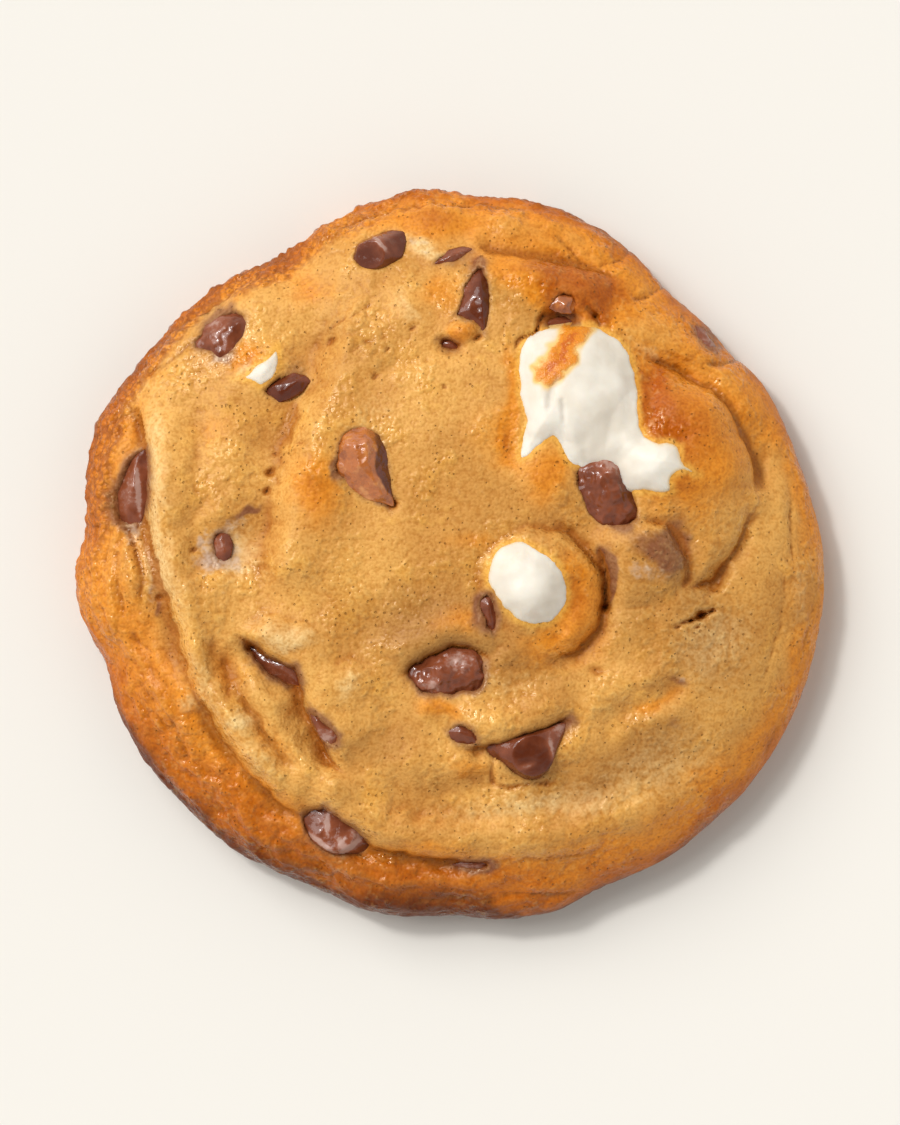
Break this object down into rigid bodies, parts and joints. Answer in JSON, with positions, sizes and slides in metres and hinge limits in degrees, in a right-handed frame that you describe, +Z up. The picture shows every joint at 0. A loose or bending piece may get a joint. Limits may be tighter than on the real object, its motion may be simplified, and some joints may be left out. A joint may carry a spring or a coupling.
{
  "type": "smores cookie",
  "caption": "Thick round soft-baked cookie with a folded, browned top, milk chocolate chunks and toasted marshmallow baked in, resting on its flat underside.",
  "frame": {"origin": "centre of the cookie's footprint, on its flat underside", "axes": "+Z up through the cookie's thickness, the side with chocolate and marshmallow; +X to the right and +Y to the top as the cookie is seen from above, with the larger marshmallow up and right"},
  "size_m": [0.1101, 0.1071, 0.0246],
  "materials": {
    "baked_dough": "soft-baked butter dough, tan in the middle and browned at the rim, with a light buttery sheen",
    "milk_chocolate": "melted and set milk chocolate, satin to glossy, with pale bloom in places",
    "caramelised_chocolate": "chocolate glazed with caramelised dough, wet and glossy",
    "marshmallow": "soft white marshmallow, toasted orange-brown and gritty along its edges"
  },
  "bodies": {
    "root": {"dough": "baked_dough", "chip_top": "milk_chocolate", "chunk_upper_left": "milk_chocolate", "chip_wedge": "milk_chocolate", "chunk_left_rim": "milk_chocolate", "chip_frosted": "milk_chocolate", "chunk_fold": "milk_chocolate", "sliver_fold": "milk_chocolate", "chunk_centre": "milk_chocolate", "chip_centre": "milk_chocolate", "chunk_glossy": "milk_chocolate", "chunk_lower_left": "milk_chocolate", "chunk_tall": "milk_chocolate", "flake_top": "milk_chocolate", "chip_hollow": "milk_chocolate", "chip_recess": "milk_chocolate", "chunk_marshmallow": "milk_chocolate", "chip_marshmallow": "milk_chocolate", "chip_lower_edge": "milk_chocolate", "chunk_side": "milk_chocolate", "chunk_caramel": "caramelised_chocolate", "crumb_caramel": "caramelised_chocolate", "marshmallow_large": "marshmallow", "marshmallow_small": "marshmallow", "marshmallow_wedge": "marshmallow"}
  },
  "joints": []
}
